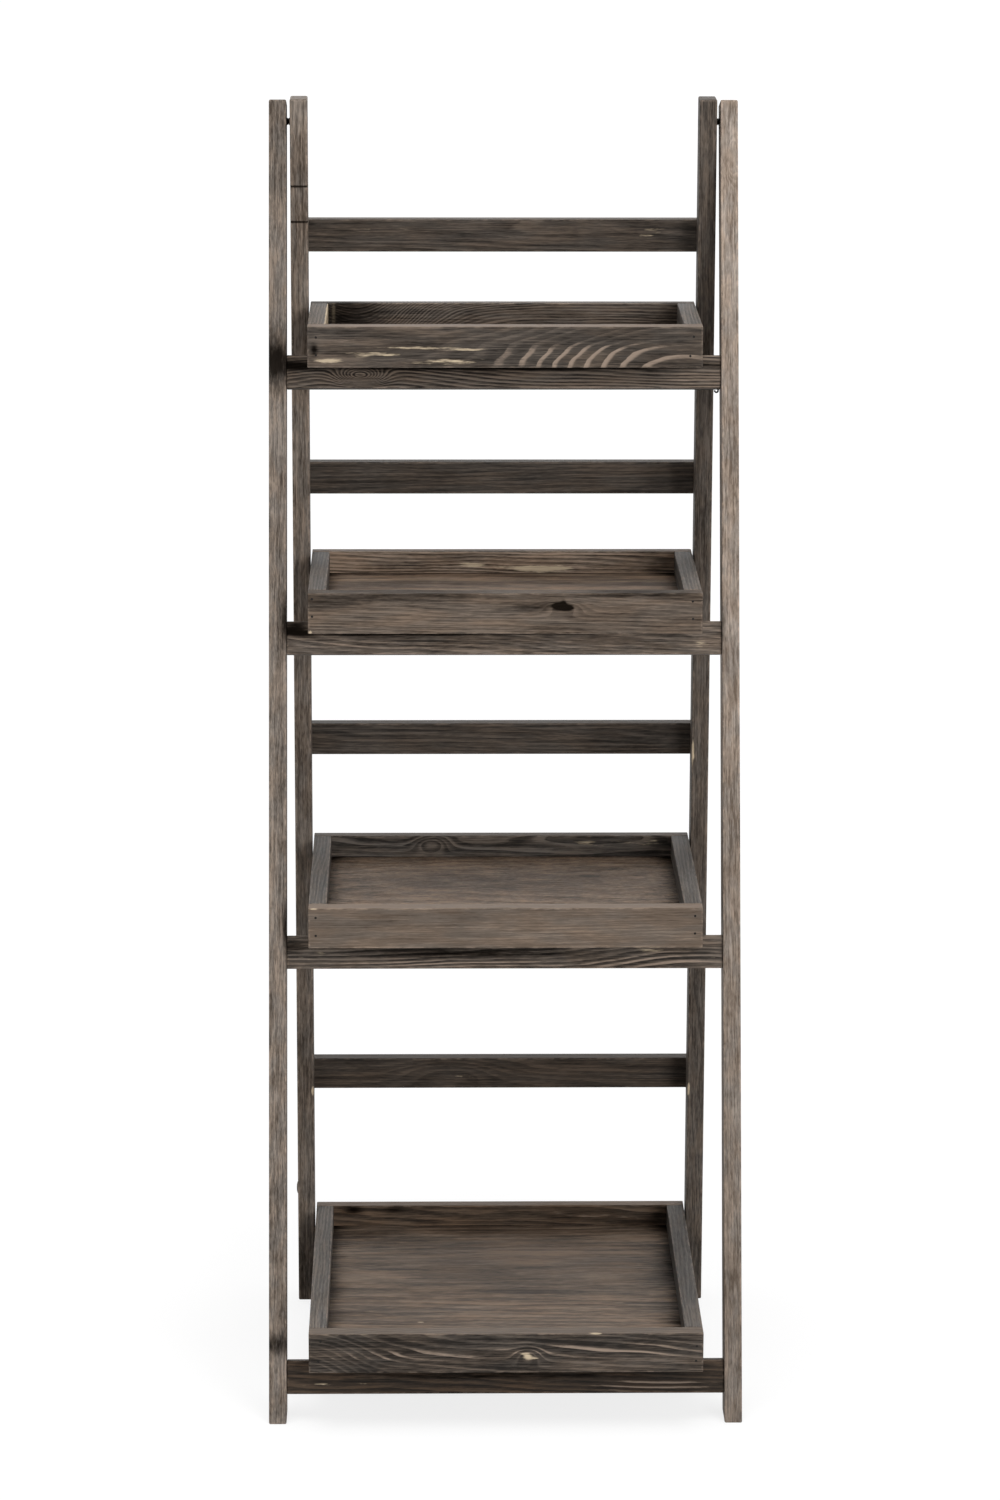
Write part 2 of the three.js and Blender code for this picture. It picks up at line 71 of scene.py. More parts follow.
class Graph:
    """A node tree whose nodes are made by calls that return their output sockets."""

    def __init__(self, tree):
        self.tree = tree

    def node(self, kind, inputs=(), **settings):
        """A node of the given kind. inputs holds what goes into its sockets, by name or number."""
        made = self.tree.nodes.new(kind)
        for name, value in settings.items():
            setattr(made, name, value)
        for name, value in dict(inputs).items():
            self.feed(made.inputs[name], value)
        return made

    def feed(self, socket, value):
        if isinstance(value, bpy.types.NodeSocket):
            self.tree.links.new(value, socket)
        else:
            socket.default_value = value

    def math(self, operation, *values):
        inputs = enumerate(values)
        return self.node("ShaderNodeMath", inputs, operation=operation).outputs[0]

    def vector(self, operation, *values, output="Vector"):
        inputs = enumerate(values)
        return self.node("ShaderNodeVectorMath", inputs, operation=operation).outputs[output]

    def total(self, *values):
        result = values[0]
        for value in values[1:]:
            result = self.math("ADD", result, value)
        return result

    def smooth(self, value, low, high, to_low=0.0, to_high=1.0):
        """A smooth step from to_low at low to to_high at high."""
        inputs = enumerate((value, low, high, to_low, to_high))
        return self.node("ShaderNodeMapRange", inputs, interpolation_type="SMOOTHSTEP").outputs[0]

    def noise(self, place, stretch, detail=2.0, roughness=0.55):
        """Noise whose features are about `stretch` millimetres long on each axis, from 0 to 1 about 0.5."""
        scaled = self.vector("DIVIDE", place, stretch)
        inputs = {"Vector": scaled, "Scale": 1.0, "Detail": detail, "Roughness": roughness}
        return self.node("ShaderNodeTexNoise", inputs).outputs["Fac"]

    def swing(self, noise, amount):
        """Noise about 0.5 as a change about 0."""
        centred = self.math("SUBTRACT", noise, 0.5)
        return self.math("MULTIPLY", centred, amount)

    def mix(self, factor, first, second, blend="MIX"):
        inputs = {MIX_FACTOR: factor, MIX_FIRST: first, MIX_SECOND: second}
        return self.node("ShaderNodeMix", inputs, data_type="RGBA", blend_type=blend).outputs[MIX_RESULT]

    def tint(self, colour, by):
        return self.mix(1.0, colour, by, blend="MULTIPLY")

    def spot(self, place, centre, size):
        """1 at the centre and 0 well beyond `size` millimetres from it."""
        apart = self.vector("SUBTRACT", place, centre)
        scaled = self.vector("DIVIDE", apart, size)
        square = self.vector("DOT_PRODUCT", scaled, scaled, output="Value")
        return self.math("EXPONENT", self.math("MULTIPLY", square, -1.0))

    def facing(self, direction):
        """How far the surface faces a direction, from -1 to 1."""
        normal = self.node("ShaderNodeTexCoord").outputs["Normal"]
        return self.vector("DOT_PRODUCT", normal, direction, output="Value")


def linear(level):
    """A screen level from 0 to 255 as linear light."""
    share = level / 255
    return share / 12.92 if share <= 0.04045 else ((share + 0.055) / 1.055) ** 2.4


# What a warmth of 1 adds to red, green and blue, as a share of the level
WARMTH_TINT = (0.115, -0.01, -0.115)


def tone(level, warmth=1.0):
    """Grey-brown of the given screen level, warmer or greyer."""
    red, green, blue = (linear(level * (1 + tint * warmth)) for tint in WARMTH_TINT)
    return (red, green, blue, 1)


def new_material(name):
    made = bpy.data.materials.new(name)
    made.use_nodes = True
    made.node_tree.nodes.clear()
    return made, Graph(made.node_tree)


def shader(g, specular, metallic=0.0):
    bsdf = g.node("ShaderNodeBsdfPrincipled", {"Metallic": metallic, "Specular IOR Level": specular})
    g.node("ShaderNodeOutputMaterial", {"Surface": bsdf.outputs[0]})
    return bsdf


def cover(piece, material):
    piece.data.materials.clear()
    piece.data.materials.append(material)


# Wood. Sizes are in millimetres.

# What the wood of one piece can be given, and the value where it isn't
WOOD_INPUTS = {
    "Seed": 0.0,
    "Spacing": 4.0,  # between growth rings
    "Pith Across": 30.0,  # the rings' middle, from the middle of the piece
    "Pith Depth": -60.0,
    "Tilt": 0.02,  # slope of the pith
    "Wave": 1.0,  # how far the rings stray from circles
    "Length": 1.0,  # of the patterns along the grain, as a share of their sizes
    "Swirl": 0.0,  # shift of the rings about a knot
    "Rings": 0.5,  # contrast of the rings, and below of fibres and blotches
    "Sharp": 1.0,  # how narrow the rings' crests are
    "Fibre": 1.0,
    "Blotch": 1.0,
    "Pale": 0.0,  # rings worn pale
    "Bare And Lit": 0.0,  # patches worn down to raw wood, and patches of painted light
    "Stain And Shade": 0.0,  # patches soaked with stain, and patches of painted shade
    "End": 0.0,  # 1 where the grain is cut across
    "Edge": 10.0,  # distance to the nearest edge
    "Up": 0.0,  # how far an upper face is painted lighter: painted light from above, with some rubbed wear
}
WOOD_COLOURS = ("Dark", "Middle", "Light", "Tan", "Raw")
WOOD_NUMBERS_OUT = ("Roughness", "Shine", "Height")

# Noises: size of their features along the grain, across it and into it, then maybe detail and roughness
PATTERNS = {
    "wave": ((190, 34, 34), 1.0),
    "ripple": ((60, 10, 10), 2.0),
    "fibre": ((85, 1.0, 1.0), 3.0, 0.7),
    "strand": ((130, 2.4, 2.4), 2.0),
    "fleck": ((14, 1.3, 1.3), 2.0, 0.6),
    "blotch": ((60, 11, 11), 3.0),
    "broad": ((210, 40, 40), 1.0),
    "hue": ((70, 14, 14), 2.0),
    "ragged": ((22, 3.0, 3.0), 3.0, 0.65),
    "scuff": ((15, 5, 5), 3.0, 0.6),
}
SEED_STEPS = (613.0, 271.0, 149.0)  # shift of the patterns from one seed to the next

# Growth rings, bent by two noises. Each rises slowly to its crest and falls steeply, in shares of a ring
RING_BENDS = {"wave": 12.0, "ripple": 2.0}
RING_RISE = (0.2, 0.78)
RING_FALL = (1.0, 0.86)
RING_STRENGTHS = (0.45, 1.2)
CREST_MEAN = 0.35

# The stain's tone and hue
FINE_TONE = {"fibre": 1.9, "strand": 0.7, "fleck": 1.1}
COARSE_TONE = {"blotch": 1.0, "broad": 0.8}
HUE_SPAN = (0.36, 0.64)
COOL_TINT = (0.97, 1.005, 1.03, 1)
WARM_TINT = (1.03, 0.995, 0.95, 1)

# Wear, and painted light and shade. For a patch: how ragged its rim is, and the amounts where it starts and
# where it is full
PATCHES = {"Pale": (1.1, 0.25, 0.75), "Bare And Lit": (1.8, 0.45, 0.95), "Stain And Shade": (0.8, 0.1, 0.95)}
PALE_CRESTS = (0.45, 1.0)
BARE_FIBRES = (0.3, 0.6, 0.5, 1.0)
WORN_EDGE = (3.0, 0.4)  # distances from an edge
WORN_SCUFFS = (0.44, 0.66)
COVERAGE = {"pale": 0.8, "worn": 0.35, "soaked_and_shaded": 0.97, "end": 0.4}  # of the stain below, at most
SOAKED_AND_SHADED_BLACK = 0.82  # share of black in soaked wood and in painted shade
RAW_WOOD = (linear(174), linear(158), linear(134), 1)

SHINE = 0.1  # the wood is matt, and duller still where it is soaked with stain and where shade is painted
ROUGHNESS = 0.62
ROUGHNESS_SWINGS = {"fibre": 0.3, "blotch": 0.25}
BARE_ROUGHNESS = 0.1
# Heights for the bump
RELIEF = {"crest": 0.12, "fibre": 0.25, "strand": 0.3, "worn": -0.15, "bare": -0.12}


def add_sockets(tree):
    new_socket = tree.interface.new_socket
    new_socket("Place", in_out="INPUT", socket_type="NodeSocketVector")
    for name, value in WOOD_INPUTS.items():
        socket = new_socket(name, in_out="INPUT", socket_type="NodeSocketFloat")
        socket.default_value = value
    for name in WOOD_COLOURS:
        new_socket(name, in_out="INPUT", socket_type="NodeSocketColor")
    new_socket("Color", in_out="OUTPUT", socket_type="NodeSocketColor")
    for name in WOOD_NUMBERS_OUT:
        new_socket(name, in_out="OUTPUT", socket_type="NodeSocketFloat")


def wood_patterns(g, given):
    """The noises of PATTERNS, shifted by the piece's seed."""
    offset = {axis: g.math("MULTIPLY", given["Seed"], step) for axis, step in zip("XYZ", SEED_STEPS)}
    offset = g.node("ShaderNodeCombineXYZ", offset).outputs[0]
    length = g.node("ShaderNodeCombineXYZ", {"X": given["Length"], "Y": 1.0, "Z": 1.0}).outputs[0]
    moved = g.vector("ADD", g.vector("DIVIDE", given["Place"], length), offset)
    return {name: g.noise(moved, *pattern) for name, pattern in PATTERNS.items()}


def growth_rings(g, given, noise):
    """How near a point is to its ring's crest, from 0 to 1, and the ring's own strength."""
    along, across, depth = g.node("ShaderNodeSeparateXYZ", {0: given["Place"]}).outputs
    drift = g.math("MULTIPLY", along, given["Tilt"])
    from_pith = g.math("SUBTRACT", g.math("SUBTRACT", depth, given["Pith Depth"]), drift)
    aside = g.math("SUBTRACT", across, given["Pith Across"])
    square = g.total(g.math("MULTIPLY", from_pith, from_pith), g.math("MULTIPLY", aside, aside))
    radius = g.math("SQRT", square)
    bends = [
        g.swing(noise[name], g.math("MULTIPLY", given["Wave"], reach)) for name, reach in RING_BENDS.items()
    ]
    rings = g.math("DIVIDE", g.total(radius, *bends, given["Swirl"]), given["Spacing"])
    phase = g.math("FRACT", rings)
    crest = g.math("MULTIPLY", g.smooth(phase, *RING_RISE), g.smooth(phase, *RING_FALL))
    crest = g.math("POWER", crest, given["Sharp"])
    each = g.node("ShaderNodeTexWhiteNoise", {"W": g.math("FLOOR", rings)}, noise_dimensions="1D")
    strength = g.smooth(each.outputs["Value"], 0.0, 1.0, *RING_STRENGTHS)
    return crest, strength


def swings(g, noise, amounts):
    return [g.swing(noise[name], amount) for name, amount in amounts.items()]


def stained(g, given, noise, crest, strength):
    """The colour of the stained wood, before any wear."""
    fine = g.total(*swings(g, noise, FINE_TONE))
    coarse = g.total(*swings(g, noise, COARSE_TONE))
    ring_amount = g.math("MULTIPLY", strength, given["Rings"])
    level = g.total(
        0.5,
        g.math("MULTIPLY", g.math("SUBTRACT", crest, CREST_MEAN), ring_amount),
        g.math("MULTIPLY", fine, given["Fibre"]),
        g.math("MULTIPLY", coarse, given["Blotch"]),
    )
    lower = g.mix(g.smooth(level, 0.0, 0.5), given["Dark"], given["Middle"])
    colour = g.mix(g.smooth(level, 0.5, 1.0), lower, given["Light"])
    return g.tint(colour, g.mix(g.smooth(noise["hue"], *HUE_SPAN), WARM_TINT, COOL_TINT))


def patch(g, given, noise, name):
    ragged, start, full = PATCHES[name]
    return g.smooth(g.math("ADD", given[name], g.swing(noise["ragged"], ragged)), start, full)


def wood_group():
    """Growth rings cut by the board, fibres and blotches, what is worn pale or bare or soaked dark, and
    painted light and shade.
    """
    tree = bpy.data.node_groups.new("stained wood", "ShaderNodeTree")
    add_sockets(tree)
    g = Graph(tree)
    given = g.node("NodeGroupInput").outputs
    noise = wood_patterns(g, given)
    crest, strength = growth_rings(g, given, noise)

    pale = g.math("MULTIPLY", patch(g, given, noise, "Pale"), g.smooth(crest, *PALE_CRESTS))
    # bare patches, one of which is painted light
    bare = g.math("MULTIPLY", patch(g, given, noise, "Bare And Lit"), g.smooth(noise["fibre"], *BARE_FIBRES))
    worn = g.math("MULTIPLY", g.smooth(given["Edge"], *WORN_EDGE), g.smooth(noise["scuff"], *WORN_SCUFFS))
    # soaked patches, some of which are painted shade
    soaked_and_shaded = patch(g, given, noise, "Stain And Shade")
    soaked_and_shaded_colour = g.mix(SOAKED_AND_SHADED_BLACK, given["Dark"], BLACK)

    colour = stained(g, given, noise, crest, strength)
    colour = g.mix(g.math("MULTIPLY", pale, COVERAGE["pale"]), colour, given["Tan"])
    colour = g.mix(g.math("MULTIPLY", worn, COVERAGE["worn"]), colour, given["Tan"])
    colour = g.mix(bare, colour, given["Raw"])
    colour = g.mix(g.math("MULTIPLY", soaked_and_shaded, COVERAGE["soaked_and_shaded"]), colour, soaked_and_shaded_colour)
    colour = g.mix(g.math("MULTIPLY", given["End"], COVERAGE["end"]), colour, given["Dark"])
    # upper faces painted lighter towards tan: painted light from above, with some rubbed wear
    colour = g.mix(given["Up"], colour, given["Tan"])

    bare_roughness = g.math("MULTIPLY", bare, BARE_ROUGHNESS)
    results = {
        "Color": colour,
        "Roughness": g.total(ROUGHNESS, *swings(g, noise, ROUGHNESS_SWINGS), bare_roughness),
        "Shine": g.math("SUBTRACT", SHINE, g.math("MULTIPLY", soaked_and_shaded, SHINE)),
        "Height": g.total(
            g.math("MULTIPLY", crest, RELIEF["crest"]),
            g.swing(noise["fibre"], RELIEF["fibre"]),
            g.swing(noise["strand"], RELIEF["strand"]),
            g.math("MULTIPLY", worn, RELIEF["worn"]),
            g.math("MULTIPLY", bare, RELIEF["bare"]),
        ),
    }
    g.node("NodeGroupOutput", results)
    return tree


stained_wood = wood_group()

# How squarely a face looks along the grain or up, where it begins to count and where it does fully
END_FACING = (0.6, 0.9)
UP_FACING = (0.5, 0.9)
END_REACH = 0.2  # of a lighter end, past the middle of the piece, as a share of half its length


class Grain:
    """The axes of a piece, along its grain, across it and out of its face, and its extent on them."""

    def __init__(self, node, along, across):
        self.axes = Matrix((along, across, along.cross(across)))
        corners = [self.axes @ vertex.co for vertex in nodes[node].data.vertices]
        low = Vector(min(corner[i] for corner in corners) for i in range(3))
        high = Vector(max(corner[i] for corner in corners) for i in range(3))
        self.centre = (low + high) / 2
        self.half = (high - low) / 2 / MM

    def place(self, g):
        """Millimetres from the piece's centre, on its own axes."""
        coordinates = g.node("ShaderNodeTexCoord").outputs["Object"]
        inputs = {
            "Vector": coordinates,
            "Location": -self.centre / MM,
            "Rotation": self.axes.to_euler(),
            "Scale": (1 / MM,) * 3,
        }
        return g.node("ShaderNodeMapping", inputs, vector_type="POINT").outputs[0]

    def edge_distance(self, g, place):
        """From a point on the surface to the piece's nearest edge: the middle one of three distances."""
        inward = g.vector("SUBTRACT", self.half, g.vector("ABSOLUTE", place))
        a, b, c = g.node("ShaderNodeSeparateXYZ", {0: inward}).outputs
        lower = g.math("MINIMUM", a, b)
        upper = g.math("MAXIMUM", a, b)
        return g.math("MAXIMUM", lower, g.math("MINIMUM", upper, c))

    def end_face(self, g):
        """1 on the faces that cut across the grain."""
        return g.smooth(g.math("ABSOLUTE", g.facing(self.axes[0])), *END_FACING)

    def end_gain(self, g, place, ends):
        """How much lighter the piece gets towards its two ends, as a factor."""
        along = g.node("ShaderNodeSeparateXYZ", {0: place}).outputs[0]
        share = g.math("DIVIDE", along, self.half[0])
        near = g.smooth(share, -1.0, END_REACH, ends[0], 0.0)
        far = g.smooth(share, -END_REACH, 1.0, 0.0, ends[1])
        return g.total(1.0, near, far)


FULL = 1e4  # a mark's size on an axis that it isn't limited on
MARK_INPUTS = {"swirls": "Swirl", "pale": "Pale", "bare": "Bare And Lit", "stains": "Stain And Shade"}

# From a piece's level to its dark and light ends, and to the tan of its worn rings and edges
SPREAD = 0.5
LIGHT_SPREAD = 0.8
DARK_WARMTH = 1.5
TAN_SHARE = 0.9
TAN_LIFT = 72
TAN_WARMTH = 1.05
BUMP_STRENGTH = 0.9


def marks(g, place, spots):
    """The sum of spots given as (along, across, length, height, amount), and maybe (depth, thickness)."""
    values = [0.0]
    for along, across, length, height, amount, *extent in spots:
        depth, thickness = extent or (0, FULL)
        mark = g.spot(place, (along, across, depth), (length, height, thickness))
        values.append(g.math("MULTIPLY", mark, amount))
    return g.total(*values)


def wood(node, grain, level, warmth=1.0, contrast=1.0, ends=(0, 0), top=0.0, **settings):
    """Stained wood for one piece. level is its tone on screen.

    ends is how much lighter its two ends are, and top how far its upper face is painted towards tan:
    painted light from above, partly the stain rubbed off.
    The other settings are inputs in WOOD_INPUTS, and lists of marks by their names in MARK_INPUTS.
    """
    made, g = new_material(f"{node} wood")
    place = grain.place(g)
    spread = SPREAD * contrast
    inputs = {
        "Place": place,
        "Dark": tone(level * (1 - spread), warmth * DARK_WARMTH),
        "Middle": tone(level, warmth),
        "Light": tone(level * (1 + LIGHT_SPREAD * spread), warmth),
        "Tan": tone(level * TAN_SHARE + TAN_LIFT, TAN_WARMTH),
        "Raw": RAW_WOOD,
        "End": grain.end_face(g),
        "Edge": grain.edge_distance(g, place),
    }
    # painted top light on upward faces, with some rubbed wear
    if top:
        inputs["Up"] = g.math("MULTIPLY", g.smooth(g.facing(UP), *UP_FACING), top)
    for key, name in MARK_INPUTS.items():
        inputs[name] = marks(g, place, settings.pop(key, ()))
    for name, value in settings.items():
        inputs[name.replace("_", " ")] = value
    surface = g.node("ShaderNodeGroup", node_tree=stained_wood)
    for name, value in inputs.items():
        g.feed(surface.inputs[name], value)
    colour = surface.outputs["Color"]
    if any(ends):
        colour = g.tint(colour, g.vector("MULTIPLY", (1, 1, 1), grain.end_gain(g, place, ends)))
    bump_inputs = {"Strength": BUMP_STRENGTH, "Distance": MM, "Height": surface.outputs["Height"]}
    bump = g.node("ShaderNodeBump", bump_inputs)
    bsdf = shader(g, specular=SHINE)
    g.feed(bsdf.inputs["Specular IOR Level"], surface.outputs["Shine"])
    g.feed(bsdf.inputs["Base Color"], colour)
    g.feed(bsdf.inputs["Roughness"], surface.outputs["Roughness"])
    g.feed(bsdf.inputs["Normal"], bump.outputs[0])
    cover(nodes[node], made)


# The pieces' looks. Marks are placed along the grain, which for a leg is down it, and across it, from the
# middle of the piece. The depths here are of faces, for marks that show on one face only.

TRAYS = (1, 2, 3, 4)
LEG_FRONT = 20
FRONT_BOARD_FACE = 10
REAR_BOARD_FACE = 8
SIDE_BOARD_FACE = 10.25

FRONT_LEG_WOOD = dict(contrast=0.8, Rings=0.25, Spacing=3.2, Fibre=1.2, Blotch=1.3, warmth=0.8, Length=0.5)
FRONT_LEGS = {
    "front_leg_left": dict(
        level=87, Seed=1, ends=(-0.05, -0.12), Pith_Across=60,
        stains=[
            (-455, 0, 26, 30, 0.75, LEG_FRONT, 18), (-155, 8, 36, 9, 0.8, LEG_FRONT, 18),
            (198, 10, 34, 5, 0.9, LEG_FRONT, 18), (668, 0, 16, 30, 0.8, LEG_FRONT, 18),
            (-470, -6, 90, 20, 0.3), (360, 0, 60, 8, 0.3), (-260, -10, 50, 4, 0.4), (20, 6, 70, 4, 0.35),
        ],
    ),
    "front_leg_right": dict(
        level=103, Seed=2, ends=(0.3, -0.32), Pith_Across=-60, contrast=0.6,
        stains=[(-150, -9, 30, 4, 0.6), (250, 9, 60, 4, 0.3)],
        swirls=[(-690, 3, 26, 8, 14)],
    ),
}

REAR_LEG_WOOD = dict(contrast=0.8, Rings=0.3, Spacing=3.4, Fibre=1.2, Blotch=1.2, warmth=0.9, Length=0.6)
# The marks at 690 along on both rear legs darken their feet beside tray 4: painted shadow.
REAR_LEGS = {
    "rear_leg_left": dict(
        level=73, Seed=3, ends=(0.5, -0.1), Pith_Across=55,
        bare=[(463, 9, 6, 2.5, 1.4, LEG_FRONT, 6)],
        stains=[
            (-648, 0, 20, 30, 0.35), (-631, 0, 1.4, 30, 0.85, LEG_FRONT, 18),
            (-590, 0, 1.4, 30, 0.95, LEG_FRONT, 18), (-570, 0, 20, 30, 0.25),
            (690, 0, 75, 60, 0.55), (450, 0, 120, 30, 0.4),
        ],
    ),
    "rear_leg_right": dict(
        level=64, Seed=4, ends=(-0.1, -0.15), Pith_Across=-50,
        bare=[(42, -9, 14, 2.2, 1.5, LEG_FRONT, 6), (463, -9, 8, 2.2, 1.4, LEG_FRONT, 6)],
        stains=[(-480, 0, 90, 60, 0.2), (690, 0, 60, 60, 0.4)],
    ),
}

RAIL_WOOD = dict(Rings=0.45, Spacing=3.6)
RAILS = {
    "rear_rail_1": dict(
        level=54, Seed=11, Pith_Across=18, Pith_Depth=-30,
        bare=[(-140, 8, 60, 3, 0.3), (172, 4, 26, 8, 0.5)],
    ),
    "rear_rail_2": dict(level=51, Seed=12, Pith_Across=-55, stains=[(60, 10, 160, 9, 0.2)]),
    "rear_rail_3": dict(level=50, Seed=13, Pith_Across=60, stains=[(180, 0, 60, 30, 0.3)]),
    "rear_rail_4": dict(
        level=45, Seed=14, Pith_Across=25, warmth=1.25,
        swirls=[(-60, 0, 60, 20, 12)],
        bare=[(-45, -4, 70, 3, 0.35)],
        # (218, ...) is a faint painted shadow of the right rear leg on the rail's right end
        stains=[(-150, 0, 50, 30, 0.3), (218, 0, 8, 60, 0.05)],
    ),
}

RUNG_WOOD = dict(contrast=1.15, Rings=0.7, Spacing=3.6)
# On the rungs, the long dark marks near the top, just under the trays' front boards, are painted shadow of
# the trays: (0, 7, 260, ...) on rung 1, those at 5 and 7 across on rung 2, and (0, 2, 260, ...) on rung 4.
RUNGS = {
    "front_rung_1": dict(
        level=62, Seed=21, Pith_Across=70, Pith_Depth=-25, Rings=1.2,
        swirls=[(-165, -5, 26, 10, -34), (-165, -5, 110, 30, 16)],
        pale=[(215, -8, 60, 16, 0.5), (-165, -5, 40, 20, 0.3)],
        stains=[(0, 7, 260, 6, 1.5), (-240, 0, 30, 40, 0.4)],
    ),
    "front_rung_2": dict(
        level=72, Seed=22, Pith_Across=40, Tilt=0.06, Rings=0.4,
        pale=[(-190, -8, 70, 9, 0.5)],
        bare=[(225, -7, 16, 9, 0.6)],
        stains=[(-130, 5, 150, 4, 1.0), (60, 7, 150, 3, 0.7), (-240, 12, 22, 10, 0.9)],
    ),
    "front_rung_3": dict(
        level=60, Seed=23, Pith_Across=60, Tilt=-0.03, Rings=0.8,
        swirls=[(185, -4, 80, 24, 6)],
        pale=[(180, -8, 70, 12, 0.6), (-60, -13, 200, 5, 0.7)],
        bare=[
            (-222, -6, 30, 2.6, 0.5), (238, -4, 8, 12, 0.4), (165, 2, 22, 4, 0.55), (-212, 0, 10, 5, 0.55),
        ],
        stains=[(-40, -1, 170, 7, 0.8), (-245, 8, 26, 9, 0.7)],
    ),
    "front_rung_4": dict(
        level=35, Seed=24, Pith_Across=45, Tilt=0.03, warmth=1.9,
        pale=[(170, -10, 70, 8, 0.9)],
        bare=[(-205, -8, 50, 3.0, 0.4)],
        stains=[(0, 2, 260, 6, 0.7)],
    ),
}

FRONT_BOARDS = {
    "tray_1_front_board": dict(
        level=54, Seed=31, top=0.45, contrast=1.1,
        Pith_Across=-24, Pith_Depth=-55, Tilt=0.0, Rings=0.3, Spacing=7.5, Sharp=1.6,
        swirls=[(205, -26, 165, 90, -80)],
        pale=[(110, -12, 130, 16, 1.0), (-195, 12, 50, 7, 0.5)],
        bare=[
            (-198, -15.5, 28, 4, 0.9), (-150, -8, 40, 2.6, 0.85), (-66, -16.5, 46, 4.5, 0.8),
            (-95, -0.5, 50, 1.8, 0.9), (-42, -3, 30, 1.6, 0.85),
        ],
        stains=[(-216, -3, 5, 8, 0.9), (-120, -20, 70, 5, 0.3)],
    ),
    "tray_2_front_board": dict(
        level=67, Seed=32, warmth=1.15, contrast=0.9, Pith_Across=75, Tilt=0.05, Rings=0.35, Spacing=3.4,
        swirls=[(66, 8, 26, 10, 12)],
        bare=[(-221, -21, 2.6, 2.6, 1.2)],
        stains=[
            (60, 9, 6, 4, 1.8), (70, 7, 7, 3.4, 2.0), (66, 11, 3, 5, 1.0), (40, 8, 22, 5, 0.5),
            (8, 7, 30, 8, 0.4), (-195, 13, 120, 13, 0.5), (-80, 21, 120, 6, 0.45), (150, 22, 90, 5, 0.7),
            (-60, -24, 200, 3, 0.3),
        ],
    ),
    "tray_3_front_board": dict(
        level=75, Seed=33, top=0.18, warmth=1.1, contrast=0.8,
        Pith_Across=-70, Rings=0.14, Spacing=3.2, Blotch=0.8, Fibre=0.7,
        bare=[(150, -23, 70, 2.0, 0.45), (-218, 23, 6, 1.5, 0.9, FRONT_BOARD_FACE, 5)],
        stains=[(-120, 24, 200, 3, 0.2)],
    ),
    "tray_4_front_board": dict(
        level=53, Seed=34, top=0.25, contrast=1.2,
        Pith_Across=55, Tilt=0.07, Rings=0.42, Spacing=5.2, Sharp=2.2,
        swirls=[(25, -4, 15, 11, 12), (-225, -16, 62, 42, 26)],
        pale=[(-90, -2, 100, 9, 0.6), (125, 4, 110, 9, 0.9), (-195, 4, 40, 20, 0.1)],
        bare=[
            (25, -4, 12, 3.0, 0.5), (25, -4, 5, 8.5, 0.5), (33, -7, 6, 2.5, 0.5), (18, -1, 6, 2, 0.5),
            (102, 23, 9, 1.5, 1.1, FRONT_BOARD_FACE, 4), (-170, 23, 18, 1.0, 0.7, FRONT_BOARD_FACE, 3),
        ],
        stains=[(-40, 16, 160, 8, 0.3), (25, 5, 16, 3, 0.5), (25, -13, 14, 3, 0.4)],
    ),
}

REAR_BOARD_WOOD = dict(Rings=0.75, contrast=1.15)
# The full-height marks at the boards' right ends, 185 to 200 along, are painted shade in the trays' right
# rear corners.
REAR_BOARDS = {
    "tray_1_rear_board": dict(
        level=64, Seed=41, Pith_Across=-45, Pith_Depth=-22, Spacing=2.9, warmth=0.95,
        swirls=[(-170, -10, 85, FULL, 60)],
        bare=[(-197, 0, 3.5, 60, 0.9, REAR_BOARD_FACE, 5)],
        stains=[(-185, 0, 60, 60, 0.8), (200, 0, 20, 60, 0.5)],
    ),
    "tray_2_rear_board": dict(
        level=84, Seed=42, Pith_Across=60, Spacing=3.0, warmth=1.25,
        bare=[(-36, 8, 18, 4, 1.15), (48, 3, 50, 5, 1.15), (-199, -4, 2.2, 14, 0.7)],
        stains=[(185, 0, 30, 60, 0.35)],
    ),
    "tray_3_rear_board": dict(
        level=57, Seed=43, top=0.2, Pith_Across=40, Spacing=3.8, warmth=0.75,
        swirls=[(-83, 14, 20, 10, 13), (120, 26, 80, 14, 16)],
        bare=[(101, 13, 20, 6, 0.65), (168, 15, 30, 5, 0.65)],
    ),
    "tray_4_rear_board": dict(
        level=52, Seed=44, top=0.5, Pith_Across=45, Spacing=3.6, warmth=1.7,
        pale=[(110, 12, 110, 12, 0.4)],
        stains=[(-180, 18, 16, 7, 0.9), (-130, 18, 20, 7, 0.7), (195, 0, 18, 60, 0.5)],
    ),
}

SIDE_BOARD_WOOD = dict(warmth=0.6, contrast=0.9, Rings=0.35)
SIDE_BOARDS = {
    # The pale patch on the inner face of tray 1's left side board is painted light, falling from the right.
    "tray_1_side_board_left": dict(level=70, Seed=67, bare=[(0, 12, 120, 30, 1.5, SIDE_BOARD_FACE, 2)]),
    "tray_1_side_board_right": dict(level=66, Seed=68),
    "tray_2_side_board_left": dict(level=69, Seed=70),
    "tray_2_side_board_right": dict(level=66, Seed=71),
    "tray_3_side_board_left": dict(level=65, Seed=73),
    "tray_3_side_board_right": dict(level=65, Seed=74),
    "tray_4_side_board_left": dict(level=69, Seed=76),
    "tray_4_side_board_right": dict(level=59, Seed=77),
}

DOWEL_WOOD = dict(level=150, warmth=2.0, contrast=0.4)
DOWEL_SEED = 120
DOWELS = {
    f"tray_{number}_dowel_{side}": dict(Seed=DOWEL_SEED + number)
    for number in TRAYS
    for side in ("left", "right")
}

FLOOR_WOOD = dict(
    warmth=1.35, contrast=1.05, Rings=0.3, Spacing=7.0, Pith_Depth=-200, Fibre=1.15, Blotch=1.5,
)
